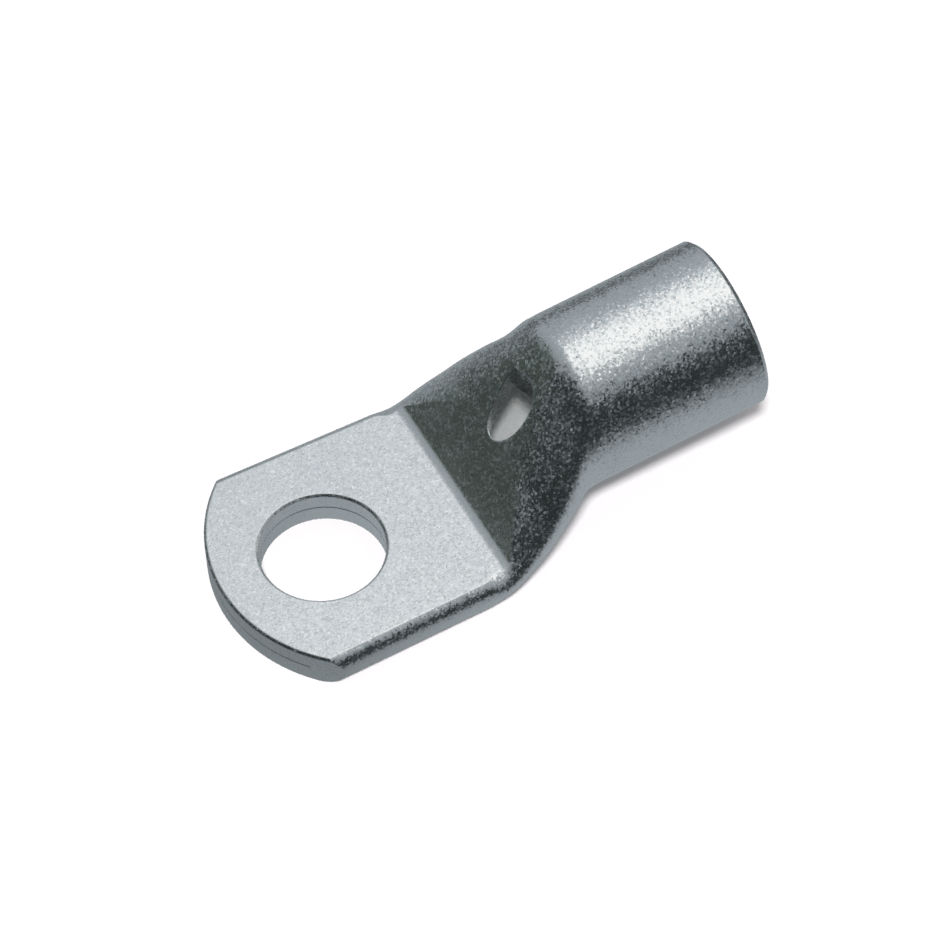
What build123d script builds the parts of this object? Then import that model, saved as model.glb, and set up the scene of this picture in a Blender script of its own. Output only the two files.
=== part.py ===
from build123d import *
from math import acos, atan, cos, degrees, radians, sin, sqrt, tan
import os

# Tubular ring cable lug for a 120 mm2 copper conductor and an M12 stud. Millimetres, +Z up.
# Origin: centre of the stud hole on the palm's underside. +X runs towards the barrel mouth.
# One length of tube: a round barrel, struck flat into a two-layer palm by an inclined die.

# driving dimensions
BARREL_D = 18.2            # outside diameter of the tube
WALL = 1.95                # wall of the tube
BARREL_TILT = 3.7          # rise of the barrel axis towards the mouth, degrees
BARREL_LIFT = 1.0          # underside of the barrel above the palm's underside, at its root
MOUTH_X = 47.0             # stud hole centre to the barrel mouth
ROOT_X = 26.1              # stud hole centre to the place where the flanks meet the barrel
ROOT_BLEND = 0.4           # hollow where the flanks meet the barrel
NECK_EASE = 0.02           # the shoulders end this much inside the barrel's skin
MOUTH_EDGE = 0.45          # broken outer edge at the mouth
LEAD_IN = 0.6              # chamfer inside the mouth
STUD_HOLE_D = 13.0         # clearance hole for the stud
STEP_X = 14.4              # stud hole centre to the step
SEAM_W = 0.12              # hairline between the two layers of the palm
SEAM_DEPTH = 0.4           # how deep that hairline stands open at the cut faces
PALM_W_STEP = 26.6         # palm width at the step, over the folds
PALM_W_FRONT = 27.4        # palm width at the front corners, over the folds
STRUCK_OFF = 0.2           # height the die takes off the folded palm
FLANK_RUN = 2.1            # the flanks start to narrow this far before the step
FRONT_R = 17.3             # radius of the front edge in plan
FRONT_X = 11.4             # stud hole centre to the front edge
CORNER_R = 2.2             # front corners in plan
RAMP_ANGLE = 52.1          # inclination of the struck ramp, degrees
STEP_R = 1.5               # hollow between palm and ramp
CREST_BLEND = 1.2          # rounding from the ramp's line onto the top of the barrel
CROWN = 0.8                # how far the unstruck shoulders stand over the die before the step
CROWN_BLEND = 1.5          # hollow where the shoulders leave the palm
PINCH_X = 20.0             # stud hole centre to the place where the die only grazes them
GRAZE = 0.03               # how far they stand over it there
SWELL = 0.17               # how much further they swell between there and the facet's point
APEX_DROP = 2.7            # the struck facet ends in a point this far under the barrel's top
SIGHT_D = 4.8              # sight hole, pierced square to the palm
SIGHT_POINT = 3.5          # centre of the sight hole to the point it is drawn out to
SIGHT_TURN = 55.0          # direction of that point, degrees from the barrel's axis
SIGHT_BACK = 2.8           # point of the struck facet back to the centre of the sight hole
EDGE_BREAK = 0.25          # broken edge left by shearing
SECTION_COUNT = 16         # cross-sections that the shoulders and their cavity are lofted through

# derived sizes
ramp = radians(RAMP_ANGLE)
slope = tan(ramp)
tilt = radians(BARREL_TILT)
palm_t = 2 * WALL + SEAM_W
fold_r = (palm_t + STRUCK_OFF) / 2
least_flat = WALL / 8
bore_r = BARREL_D / 2 - WALL
neck_r = BARREL_D / 2 - NECK_EASE
tall_neck = neck_r / cos(tilt)
tall_bore = (neck_r - WALL) / cos(tilt)
root_z = BARREL_LIFT + BARREL_D / 2 / cos(tilt)
corner_x = STEP_X + STEP_R * tan(ramp / 2)
flank_x = STEP_X - FLANK_RUN
front_mid = FRONT_R - FRONT_X
turn_x = front_mid - sqrt(FRONT_R ** 2 - PALM_W_FRONT ** 2 / 4)
taper = (PALM_W_STEP - PALM_W_FRONT) / 2 / (STEP_X - turn_x)
lean = atan(taper)
fold_run = fold_r / cos(lean)
fold_y = PALM_W_STEP / 2 - fold_run
ramp_wall = WALL / cos(ramp)
reach = 2 * (BARREL_D + PALM_W_FRONT + MOUTH_X)


def smooth_min(a, b, k):
    near = max(0.0, k - abs(a - b))
    return min(a, b) - near ** 2 / 4 / k


def smooth_max(a, b, k):
    return -smooth_min(-a, -b, k)


def spaced(start, end, count):
    return [start + (end - start) * i / (count - 1) for i in range(count)]


def axis_z(x):
    return root_z + (x - ROOT_X) * tan(tilt)


def ramp_z(x):
    return palm_t + (x - corner_x) * slope


# the struck facet's point, on the ramp under the barrel's top, and the sight hole behind it
apex_x = corner_x + (axis_z(corner_x) + tall_neck - APEX_DROP - palm_t) / (slope - tan(tilt))
sight_x = apex_x - SIGHT_BACK

# where the cavity's roof has reached the bore and the flanks have reached the barrel
crest_x = corner_x + (axis_z(corner_x) + tall_bore + ramp_wall - palm_t) / (slope - tan(tilt))
round_x = max(crest_x + CREST_BLEND / (slope - tan(tilt)), ROOT_X + 2 * ROOT_BLEND)


# half the width in plan: tapering palm, then an arc in to the barrel
def half_width(x):
    palm = PALM_W_STEP / 2 + (min(x, flank_x) - STEP_X) * taper
    drop = palm - neck_r
    run = ROOT_X - flank_x
    arc_r = (run ** 2 + drop ** 2) / 2 / drop
    along = min(max(0.0, x - flank_x), arc_r)
    return smooth_max(palm - arc_r + sqrt(arc_r ** 2 - along ** 2), neck_r, ROOT_BLEND)


# side view of the shoulders as the tube would stand without the die
def shoulder_z(x):
    foot = CROWN * max(0.0, PINCH_X - x) / (PINCH_X - flank_x)
    along = max(0.0, (x - PINCH_X) / (apex_x - PINCH_X))
    crown = foot + (GRAZE + 4 * SWELL * min(along, 1.0)) * (1 - along)
    line = smooth_max(2 * fold_r, ramp_z(x) + crown, CROWN_BLEND)
    return smooth_min(line, axis_z(x) + tall_neck, CREST_BLEND)


# how far a section has gone from the palm's flat oval (0) to the round barrel (1)
def roundness(x):
    return min(1.0, max(0.0, (x - flank_x) / (ROOT_X - flank_x)))


def floor_z(x):
    return (axis_z(max(x, ROOT_X)) - tall_neck) * roundness(x)


# one closed section: flats below and above, joined by four arcs of ellipses
def ring(x, wide, low, high):
    mid = (low + high) / 2
    centre = (wide - (mid - low) / cos(lean)) * (1 - roundness(x))
    join = least_flat * roundness(x)
    run = wide - centre
    turn = acos(join / run)
    rise = (high - mid) / sin(turn)
    flat = centre + join
    sweep = degrees(turn)
    edges = [
        Line((-flat, low), (flat, low)),
        EllipticalCenterArc((centre, mid), run, rise, 360 - sweep, arc_size=sweep),
        EllipticalCenterArc((centre, mid), run, rise, 0, arc_size=sweep),
        Line((flat, high), (-flat, high)),
        EllipticalCenterArc((-centre, mid), run, rise, 180 - sweep, arc_size=sweep),
        EllipticalCenterArc((-centre, mid), run, rise, 180, arc_size=sweep),
    ]
    return Plane((x, 0, 0), (0, 1, 0), (1, 0, 0)) * Wire(edges)


def outer(x):
    return ring(x, half_width(x), floor_z(x), shoulder_z(x))


def inner(x):
    roof = smooth_min(ramp_z(x) - ramp_wall, axis_z(x) + tall_bore, CREST_BLEND)
    return ring(x, half_width(x) - WALL, floor_z(x) + WALL, roof)


# the tube, pressed but not yet struck: palm, shoulders and round barrel
# the palm is two tapering halves with folded edges, and they overlap in the middle
fold = Plane((STEP_X, fold_y, fold_r), (-sin(lean), cos(lean), 0), (-cos(lean), -sin(lean), 0))
half_oval = Circle(fold_r) + Pos(-3 * fold_y / 4, 0) * Rectangle(3 * fold_y / 2, 2 * fold_r)
half_palm = fold * extrude(half_oval, reach, both=True)
palm = half_palm + mirror(half_palm, Plane.XZ)
palm = palm & Pos(flank_x - reach / 2, 0, 0) * Box(reach, reach, reach)
shoulders = Solid.make_loft([outer(x) for x in spaced(flank_x, round_x, SECTION_COUNT)])
axis = Plane((ROOT_X, 0, root_z), (0, 1, 0), (cos(tilt), 0, sin(tilt)))
length = (MOUTH_X - ROOT_X) / cos(tilt)
beyond = Pos(round_x + reach / 2, 0, 0) * Box(reach, reach, reach)
barrel = axis * extrude(Circle(BARREL_D / 2), length) & beyond
tube = palm + shoulders + barrel

# the die: flat over the palm, a hollow at the step, then the inclined ramp
die_line = Polyline(
    (-reach, palm_t),
    (corner_x, palm_t),
    (corner_x + reach / slope, palm_t + reach),
    (-reach, palm_t + reach),
    close=True,
)
die_face = make_face(Plane.XZ * die_line)
die = extrude(die_face, reach, both=True)
corner = die.edges().filter_by(Axis.Y).sort_by_distance((corner_x, 0, palm_t))[0]
die = fillet(corner, STEP_R)
struck = tube - die

# bore and the cavity that closes under the ramp
shut_x = corner_x + (2 * WALL + ramp_wall - palm_t + SEAM_W) / slope
cavity = Solid.make_loft([inner(x) for x in spaced(shut_x, round_x, SECTION_COUNT)])
bore = axis * extrude(Circle(bore_r), length + WALL) & beyond
hollow = cavity + bore
lug = struck - hollow

# front edge in plan, sheared through both layers
side_y = PALM_W_FRONT / 2 + SEAM_W
side_x = front_mid - sqrt(FRONT_R ** 2 - side_y ** 2)
outline = make_face([
    Line((side_x, -side_y), (reach, -side_y)),
    Line((reach, -side_y), (reach, side_y)),
    Line((reach, side_y), (side_x, side_y)),
    ThreePointArc((side_x, side_y), (-FRONT_X, 0), (side_x, -side_y)),
])
outline = fillet(outline.vertices().sort_by(Axis.X)[:2], CORNER_R)
lug = lug & extrude(outline, reach, both=True)

# stud hole, and the sight hole through the upper wall only
lug = lug - Cylinder(STUD_HOLE_D / 2, reach)
sight_r = SIGHT_D / 2
touch_x = sight_r ** 2 / SIGHT_POINT
touch_y = sqrt(sight_r ** 2 - touch_x ** 2)
drawn = Polygon((touch_x, -touch_y), (SIGHT_POINT, 0), (touch_x, touch_y), align=None)
sight = Circle(sight_r) + Rot(0, 0, SIGHT_TURN) * drawn
lug = lug - Pos(sight_x, 0, root_z / 2) * extrude(sight, reach)

# hairline between the layers where they are cut
seam = Box(reach, PALM_W_STEP - 2 * fold_r, SEAM_W)
seam = seam - Pos(front_mid, 0, 0) * Cylinder(FRONT_R - SEAM_DEPTH, reach)
seam = seam & Pos(-reach / 2, 0, 0) * Box(reach, reach, reach)
seam = seam + Cylinder(STUD_HOLE_D / 2 + SEAM_DEPTH, SEAM_W)
lug = lug - Pos(0, 0, WALL + SEAM_W / 2) * seam


# edges broken by shearing and dressing
def round_edges(radius):
    return lug.edges().filter_by(GeomType.CIRCLE).filter_by(lambda e: abs(e.radius - radius) < SEAM_W / 4)


struck_edges = round_edges(STUD_HOLE_D / 2) + round_edges(FRONT_R)
lug = chamfer(struck_edges.filter_by_position(Axis.Z, palm_t - EDGE_BREAK, palm_t + EDGE_BREAK), EDGE_BREAK)
lug = chamfer(round_edges(BARREL_D / 2).sort_by(Axis.X)[-1], MOUTH_EDGE)
lug = chamfer(round_edges(bore_r).sort_by(Axis.X)[-1], LEAD_IN)

os.makedirs("parts", exist_ok=True)
export_step(lug, "parts/cable_lug.step")
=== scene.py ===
import bpy
from math import cos, pi, radians, sin, tan
from mathutils import Matrix, Vector


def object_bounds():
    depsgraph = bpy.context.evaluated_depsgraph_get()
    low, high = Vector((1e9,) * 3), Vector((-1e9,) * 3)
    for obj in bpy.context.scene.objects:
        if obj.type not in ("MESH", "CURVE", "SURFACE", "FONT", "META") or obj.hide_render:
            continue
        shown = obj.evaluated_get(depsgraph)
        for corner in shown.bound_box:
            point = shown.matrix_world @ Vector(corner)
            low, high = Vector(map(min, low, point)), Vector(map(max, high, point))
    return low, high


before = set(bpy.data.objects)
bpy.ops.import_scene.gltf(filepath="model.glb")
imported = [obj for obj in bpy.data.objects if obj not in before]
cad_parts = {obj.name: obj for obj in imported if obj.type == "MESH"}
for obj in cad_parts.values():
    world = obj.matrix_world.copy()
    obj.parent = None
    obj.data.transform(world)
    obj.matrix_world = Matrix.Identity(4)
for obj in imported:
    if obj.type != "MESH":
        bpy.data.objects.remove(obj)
cad_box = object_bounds()

# camera, fitted to the photograph: a long lens, 5500 pixels on a 951 pixel frame
IMAGE_PX = 951
FOCAL_PX = 5500.0
SENSOR_MM = 36.0
CAMERA_AZIMUTH = radians(-25.504)
CAMERA_ELEVATION = radians(53.327)
CAMERA_ROLL = radians(-3.398)
CAMERA_DEPTH = 0.556505
AIM_POINT = Vector((0.0, 0.0, 0.0040))
AIM_PX = (322.24, 547.257)
CLIP_START = 0.01

# floor and studio
FLOOR_SIZE = 3.0
FLOOR_COLOUR = (0.84, 0.81, 0.82, 1.0)
FLOOR_LIFT = 0.02
SKY_GREY = 0.42
DOME_RADIUS = 1.2
DOME_RINGS = 24
DOME_STEPS = 64
WHITE = (1.0, 1.0, 1.0, 1.0)
WALL = (0.36, 0.40, 0.43, 1.0)
DIM = (0.055, 0.074, 0.060, 1.0)
DARK = (0.020, 0.027, 0.027, 1.0)
CARD = (0.66, 0.73, 0.79, 1.0)
SOFTBOX = (1.24, 1.24, 1.24, 1.0)

# table top seen by reflections, a glowing sheet: painted light round a place beside the lug, painted
# shade further off
TABLE_GAP = 0.00005
TABLE_GLOW = (0.37, 0.41, 0.44, 1.0)
TABLE_LIT_AT = (0.034, 0.010)
TABLE_LIT_TO = (0.030, 0.080)

# soft lamp for the shadow on the floor: azimuth, elevation and width in degrees
LAMP_FROM = (-154.0, 62.0)
LAMP_STRENGTH = 3.25
LAMP_WIDTH = 9.0

# cones in the studio: azimuth, elevation, half-angle and soft edge in degrees
SOFTBOX_CONE = (68.0, 74.0, 24.0, 4.0)
CARD_CONE = (24.0, 54.0, 10.0, 5.0)
DIM_CONE = (-62.0, -12.0, 37.0, 4.0)
DARK_CONES = ((-165.0, -20.0, 65.0, 5.0), (-126.0, -12.0, 65.0, 5.0))

# tin plate
TIN = (0.80, 0.81, 0.805, 1.0)
TIN_WORN = (0.75, 0.765, 0.76, 1.0)
TIN_ROUGHNESS = 0.26
ROUGHNESS_SWING = 0.02
PATCH_SCALE = 300.0
PATCH_DETAIL = 4.0
PATCH_RANGE = (0.3, 0.7)
GRAIN_SCALE = 5200.0
GRAIN_DETAIL = 2.0
GRAIN_DEPTH = 0.000010
FLECK_SCALE = 4800.0
FLECK_TILT = 0.16
FLECK_TILT_STRUCK = 0.045
FLECK_ROUGH_FROM = 0.62
FLECK_ROUGHNESS = 0.24
EDGE_SOFTNESS = 0.0002
EDGE_SAMPLES = 6
INSIDE_ROUGHNESS = 0.15
INSIDE_METAL = 0.60

# the die that struck the palm and the ramp, and the tube's axis, as in the solid
PALM_TOP = 0.00402
RAMP_ANGLE = radians(52.1)
RAMP_FOOT = 0.015133
ROOF = 0.0033
STRUCK_SKIN = 0.00012
STRUCK_FULLY = STRUCK_SKIN / 4
SMOOTH_TO_X = (0.0185, 0.0225)
AXIS_FROM = (0.0261, 0.01012)
AXIS_TILT = radians(3.7)
CAVITY_FROM_X = 0.014
FACES_AXIS = (0.0008, 0.0016)


def add_node(tree, kind, **values):
    node = tree.nodes.new(kind)
    for name, value in values.items():
        setattr(node, name, value)
    return node


def new_material(name):
    material = bpy.data.materials.new(name)
    material.use_nodes = True
    material.node_tree.nodes.clear()
    return material, material.node_tree


def maths(tree, operation, first, second=None):
    node = add_node(tree, "ShaderNodeMath", operation=operation)
    for socket, value in zip(node.inputs, (first, second)):
        if value is None:
            continue
        if isinstance(value, (int, float)):
            socket.default_value = value
        else:
            tree.links.new(value, socket)
    return node.outputs[0]


# a number taken from one range to another, and held at its ends
def ranged(tree, value, low, high, start, end):
    node = add_node(tree, "ShaderNodeMapRange", clamp=True)
    for name, number in (("From Min", low), ("From Max", high), ("To Min", start), ("To Max", end)):
        node.inputs[name].default_value = number
    tree.links.new(value, node.inputs["Value"])
    return node.outputs["Result"]


def noise(tree, point, scale, detail):
    node = add_node(tree, "ShaderNodeTexNoise", noise_dimensions="3D")
    node.inputs["Scale"].default_value = scale
    node.inputs["Detail"].default_value = detail
    tree.links.new(point, node.inputs["Vector"])
    return node.outputs["Fac"]


# camera at the photograph's viewing angle
def make_camera():
    forward = Vector((-sin(CAMERA_AZIMUTH) * cos(CAMERA_ELEVATION),
                      cos(CAMERA_AZIMUTH) * cos(CAMERA_ELEVATION),
                      -sin(CAMERA_ELEVATION)))
    level = Vector((cos(CAMERA_AZIMUTH), sin(CAMERA_AZIMUTH), 0.0))
    upright = level.cross(forward)
    right = cos(CAMERA_ROLL) * level + sin(CAMERA_ROLL) * upright
    up = -sin(CAMERA_ROLL) * level + cos(CAMERA_ROLL) * upright
    across = (AIM_PX[0] - IMAGE_PX / 2) / FOCAL_PX
    down = (AIM_PX[1] - IMAGE_PX / 2) / FOCAL_PX
    place = AIM_POINT - CAMERA_DEPTH * (forward + across * right - down * up)
    data = bpy.data.cameras.new("camera")
    data.sensor_width = SENSOR_MM
    data.lens = FOCAL_PX * SENSOR_MM / IMAGE_PX
    data.clip_start = CLIP_START
    camera = bpy.data.objects.new("camera", data)
    axes = Matrix((right, up, -forward)).transposed()
    camera.matrix_world = Matrix.Translation(place) @ axes.to_4x4()
    bpy.context.collection.objects.link(camera)
    bpy.context.scene.camera = camera


# share of rays that see the plain white background
def background_rays(tree):
    path = add_node(tree, "ShaderNodeLightPath")
    seen = maths(tree, "MAXIMUM", path.outputs["Is Camera Ray"], path.outputs["Is Glossy Ray"])
    return maths(tree, "MAXIMUM", seen, path.outputs["Is Transmission Ray"])


def make_world():
    world = bpy.data.worlds.new("studio")
    bpy.context.scene.world = world
    world.use_nodes = True
    tree = world.node_tree
    tree.nodes.clear()
    seen = add_node(tree, "ShaderNodeBackground")
    seen.inputs["Color"].default_value = WHITE
    soft = add_node(tree, "ShaderNodeBackground")
    soft.inputs["Color"].default_value = (SKY_GREY, SKY_GREY, SKY_GREY, 1.0)
    mix = add_node(tree, "ShaderNodeMixShader")
    out = add_node(tree, "ShaderNodeOutputWorld")
    tree.links.new(background_rays(tree), mix.inputs[0])
    tree.links.new(soft.outputs[0], mix.inputs[1])
    tree.links.new(seen.outputs[0], mix.inputs[2])
    tree.links.new(mix.outputs[0], out.inputs["Surface"])


def square(name, half, height, material):
    mesh = bpy.data.meshes.new(name)
    corners = [(-half, -half), (half, -half), (half, half), (-half, half)]
    mesh.from_pydata([(x, y, height) for x, y in corners], [], [(0, 1, 2, 3)])
    mesh.materials.append(material)
    sheet = bpy.data.objects.new(name, mesh)
    bpy.context.collection.objects.link(sheet)
    return sheet


def make_floor():
    material, tree = new_material("pale_floor")
    matt = add_node(tree, "ShaderNodeBsdfDiffuse")
    matt.inputs["Color"].default_value = FLOOR_COLOUR
    lift = add_node(tree, "ShaderNodeEmission")
    tree.links.new(maths(tree, "MULTIPLY", background_rays(tree), FLOOR_LIFT), lift.inputs["Strength"])
    both = add_node(tree, "ShaderNodeAddShader")
    out = add_node(tree, "ShaderNodeOutputMaterial")
    tree.links.new(matt.outputs[0], both.inputs[0])
    tree.links.new(lift.outputs[0], both.inputs[1])
    tree.links.new(both.outputs[0], out.inputs["Surface"])
    square("floor", FLOOR_SIZE / 2, cad_box[0][2], material)


# what only reflections see: no part of it lights the floor or casts a shadow
def reflections_only(thing):
    thing.visible_camera = False
    thing.visible_diffuse = False
    thing.visible_shadow = False


# a direction as a unit vector; azimuth 0 is +Y and 90 degrees is +X
def heading(azimuth, elevation):
    return Vector((sin(azimuth) * cos(elevation), cos(azimuth) * cos(elevation), sin(elevation)))


# 1 inside a cone round a direction, 0 outside, with a soft edge
def cone(tree, direction, shape):
    azimuth, elevation, half_angle, soft = (radians(angle) for angle in shape)
    dot = add_node(tree, "ShaderNodeVectorMath", operation="DOT_PRODUCT")
    tree.links.new(direction, dot.inputs[0])
    dot.inputs[1].default_value = heading(azimuth, elevation)
    edge = add_node(tree, "ShaderNodeMapRange", interpolation_type="SMOOTHSTEP", clamp=True)
    edge.inputs["From Min"].default_value = cos(half_angle + soft)
    edge.inputs["From Max"].default_value = cos(half_angle - soft)
    tree.links.new(dot.outputs["Value"], edge.inputs["Value"])
    return edge.outputs["Result"]


# two colours, or outputs that carry them, mixed by a share; the indices are the node's colour sockets
def blend(tree, share, first, second):
    mix = add_node(tree, "ShaderNodeMix", data_type="RGBA")
    tree.links.new(share, mix.inputs["Factor"])
    for socket, value in ((mix.inputs[6], first), (mix.inputs[7], second)):
        if isinstance(value, tuple):
            socket.default_value = value
        else:
            tree.links.new(value, socket)
    return mix.outputs[2]


def glow(tree, colour):
    light = add_node(tree, "ShaderNodeEmission")
    tree.links.new(colour, light.inputs["Color"])
    out = add_node(tree, "ShaderNodeOutputMaterial")
    tree.links.new(light.outputs[0], out.inputs["Surface"])


# grey studio walls with a softbox overhead, a card and a dark side
def make_walls():
    mesh = bpy.data.meshes.new("studio_walls")
    points = []
    for ring in range(DOME_RINGS + 1):
        elevation = pi / 2 * ring / DOME_RINGS
        for step in range(DOME_STEPS):
            azimuth = 2 * pi * step / DOME_STEPS
            points.append(DOME_RADIUS * heading(azimuth, elevation))
    faces = []
    for ring in range(DOME_RINGS):
        low = ring * DOME_STEPS
        high = low + DOME_STEPS
        for step in range(DOME_STEPS):
            after = (step + 1) % DOME_STEPS
            faces.append((low + step, low + after, high + after, high + step))
    mesh.from_pydata(points, [], faces)
    walls = bpy.data.objects.new("studio_walls", mesh)
    bpy.context.collection.objects.link(walls)
    material, tree = new_material("studio_walls")
    place = add_node(tree, "ShaderNodeTexCoord")
    unit = add_node(tree, "ShaderNodeVectorMath", operation="NORMALIZE")
    tree.links.new(place.outputs["Object"], unit.inputs[0])
    direction = unit.outputs["Vector"]
    colour = WALL
    for shape, shade in ((DIM_CONE, DIM), (DARK_CONES[0], DARK), (DARK_CONES[1], DARK),
                         (CARD_CONE, CARD), (SOFTBOX_CONE, SOFTBOX)):
        colour = blend(tree, cone(tree, direction, shape), colour, shade)
    glow(tree, colour)
    mesh.materials.append(material)
    reflections_only(walls)


# glowing grey table top, a hair over the floor: painted light beside the lug, painted shade away from
# it
def make_table_glow():
    material, tree = new_material("table_glow")
    place = add_node(tree, "ShaderNodeTexCoord")
    far = add_node(tree, "ShaderNodeVectorMath", operation="DISTANCE")
    tree.links.new(place.outputs["Object"], far.inputs[0])
    far.inputs[1].default_value = (*TABLE_LIT_AT, cad_box[0][2] + TABLE_GAP)
    away = ranged(tree, far.outputs["Value"], *TABLE_LIT_TO, 0.0, 1.0)
    # the sheet glows grey with painted light near the lug and painted shade further off
    glow(tree, blend(tree, away, TABLE_GLOW, DARK))
    reflections_only(square("table_glow", DOME_RADIUS, cad_box[0][2] + TABLE_GAP, material))


# a soft sun that the metal doesn't mirror: it lights the floor and the dull inside of the tube
def make_lamp():
    light = bpy.data.lights.new("floor_lamp", "SUN")
    light.energy = LAMP_STRENGTH
    light.angle = radians(LAMP_WIDTH)
    lamp = bpy.data.objects.new("floor_lamp", light)
    bpy.context.collection.objects.link(lamp)
    toward = heading(*(radians(angle) for angle in LAMP_FROM))
    lamp.rotation_euler = toward.to_track_quat("Z", "Y").to_euler()
    lamp.visible_glossy = False


# how far a point is under the struck palm and ramp
def depth_under_die(tree, axes):
    run = maths(tree, "SUBTRACT", axes.outputs["X"], RAMP_FOOT)
    rise = maths(tree, "MULTIPLY", run, tan(RAMP_ANGLE))
    face = maths(tree, "ADD", maths(tree, "MAXIMUM", rise, 0.0), PALM_TOP)
    return maths(tree, "SUBTRACT", face, axes.outputs["Z"])


# 1 where the die struck the tube smooth: on its face, and not far up the ramp
def struck_share(tree, axes, depth):
    skin = ranged(tree, depth, STRUCK_FULLY, STRUCK_SKIN, 1.0, 0.0)
    fade = ranged(tree, axes.outputs["X"], *SMOOTH_TO_X, 1.0, 0.0)
    return maths(tree, "MULTIPLY", skin, fade)


# 1 on the walls of the bore and the cavity, which face the tube's axis, and 0 elsewhere
def inside_share(tree, place, axes, depth):
    run = maths(tree, "SUBTRACT", axes.outputs["X"], AXIS_FROM[0])
    height = maths(tree, "ADD", maths(tree, "MULTIPLY", run, tan(AXIS_TILT)), AXIS_FROM[1])
    toward = add_node(tree, "ShaderNodeCombineXYZ")
    tree.links.new(maths(tree, "MULTIPLY", axes.outputs["Y"], -1.0), toward.inputs["Y"])
    tree.links.new(maths(tree, "SUBTRACT", height, axes.outputs["Z"]), toward.inputs["Z"])
    facing = add_node(tree, "ShaderNodeVectorMath", operation="DOT_PRODUCT")
    tree.links.new(toward.outputs["Vector"], facing.inputs[0])
    tree.links.new(place.outputs["Normal"], facing.inputs[1])
    inner = ranged(tree, facing.outputs["Value"], *FACES_AXIS, 0.0, 1.0)
    under = ranged(tree, depth, ROOF, ROOF + STRUCK_SKIN, 0.0, 1.0)
    beyond = maths(tree, "GREATER_THAN", axes.outputs["X"], CAVITY_FROM_X)
    return maths(tree, "MULTIPLY", maths(tree, "MULTIPLY", inner, under), beyond)


# small facets: a random colour for each cell
def fleck_cells(tree, point):
    cells = add_node(tree, "ShaderNodeTexVoronoi", voronoi_dimensions="3D")
    cells.inputs["Scale"].default_value = FLECK_SCALE
    tree.links.new(point, cells.inputs["Vector"])
    return cells.outputs["Color"]


# the surface normal with each cell leaning its own way, most of them little and a few a lot:
# a cell's colour is spread from -1 to 1 and cubed
def fleck_normal(tree, cells, amount):
    spread = add_node(tree, "ShaderNodeVectorMath", operation="MULTIPLY_ADD")
    spread.inputs[1].default_value = (2.0, 2.0, 2.0)
    spread.inputs[2].default_value = (-1.0, -1.0, -1.0)
    tree.links.new(cells, spread.inputs[0])
    squared = add_node(tree, "ShaderNodeVectorMath", operation="MULTIPLY")
    cubed = add_node(tree, "ShaderNodeVectorMath", operation="MULTIPLY")
    for node, other in ((squared, spread), (cubed, squared)):
        tree.links.new(spread.outputs["Vector"], node.inputs[0])
        tree.links.new(other.outputs["Vector"], node.inputs[1])
    lean = add_node(tree, "ShaderNodeVectorMath", operation="SCALE")
    tree.links.new(cubed.outputs["Vector"], lean.inputs[0])
    tree.links.new(amount, lean.inputs["Scale"])
    surface = add_node(tree, "ShaderNodeBevel", samples=EDGE_SAMPLES)
    surface.inputs["Radius"].default_value = EDGE_SOFTNESS
    both = add_node(tree, "ShaderNodeVectorMath", operation="ADD")
    tree.links.new(surface.outputs["Normal"], both.inputs[0])
    tree.links.new(lean.outputs["Vector"], both.inputs[1])
    unit = add_node(tree, "ShaderNodeVectorMath", operation="NORMALIZE")
    tree.links.new(both.outputs["Vector"], unit.inputs[0])
    return unit.outputs["Vector"]


# satin tin: grain and flecks in the relief, slow patches in the colour and the roughness
def tin_material():
    material, tree = new_material("tin_plate")
    place = add_node(tree, "ShaderNodeTexCoord")
    point = place.outputs["Object"]
    axes = add_node(tree, "ShaderNodeSeparateXYZ")
    tree.links.new(point, axes.inputs[0])
    depth = depth_under_die(tree, axes)
    inside = inside_share(tree, place, axes, depth)
    patches = noise(tree, point, PATCH_SCALE, PATCH_DETAIL)
    cells = fleck_cells(tree, point)
    fleck = add_node(tree, "ShaderNodeSeparateXYZ")
    tree.links.new(cells, fleck.inputs[0])
    tint = blend(tree, ranged(tree, patches, *PATCH_RANGE, 0.0, 1.0), TIN_WORN, TIN)
    smooth = ranged(tree, patches, *PATCH_RANGE,
                    TIN_ROUGHNESS - ROUGHNESS_SWING, TIN_ROUGHNESS + ROUGHNESS_SWING)
    rough_fleck = ranged(tree, fleck.outputs["X"], FLECK_ROUGH_FROM, 1.0, 0.0, FLECK_ROUGHNESS)
    rough = maths(tree, "ADD", maths(tree, "ADD", smooth, rough_fleck),
                  maths(tree, "MULTIPLY", inside, INSIDE_ROUGHNESS))
    lean = ranged(tree, struck_share(tree, axes, depth), 0.0, 1.0, FLECK_TILT, FLECK_TILT_STRUCK)
    bump = add_node(tree, "ShaderNodeBump")
    bump.inputs["Distance"].default_value = GRAIN_DEPTH
    tree.links.new(noise(tree, point, GRAIN_SCALE, GRAIN_DETAIL), bump.inputs["Height"])
    tree.links.new(fleck_normal(tree, cells, lean), bump.inputs["Normal"])
    metal = add_node(tree, "ShaderNodeBsdfPrincipled")
    tree.links.new(ranged(tree, inside, 0.0, 1.0, 1.0, INSIDE_METAL), metal.inputs["Metallic"])
    tree.links.new(tint, metal.inputs["Base Color"])
    tree.links.new(rough, metal.inputs["Roughness"])
    tree.links.new(bump.outputs["Normal"], metal.inputs["Normal"])
    out = add_node(tree, "ShaderNodeOutputMaterial")
    tree.links.new(metal.outputs[0], out.inputs["Surface"])
    return material


bpy.context.scene.view_settings.view_transform = "Standard"
make_camera()
make_world()
make_floor()
make_walls()
make_table_glow()
make_lamp()
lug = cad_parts["cable_lug"]
for slot in lug.material_slots:
    slot.material = tin_material()
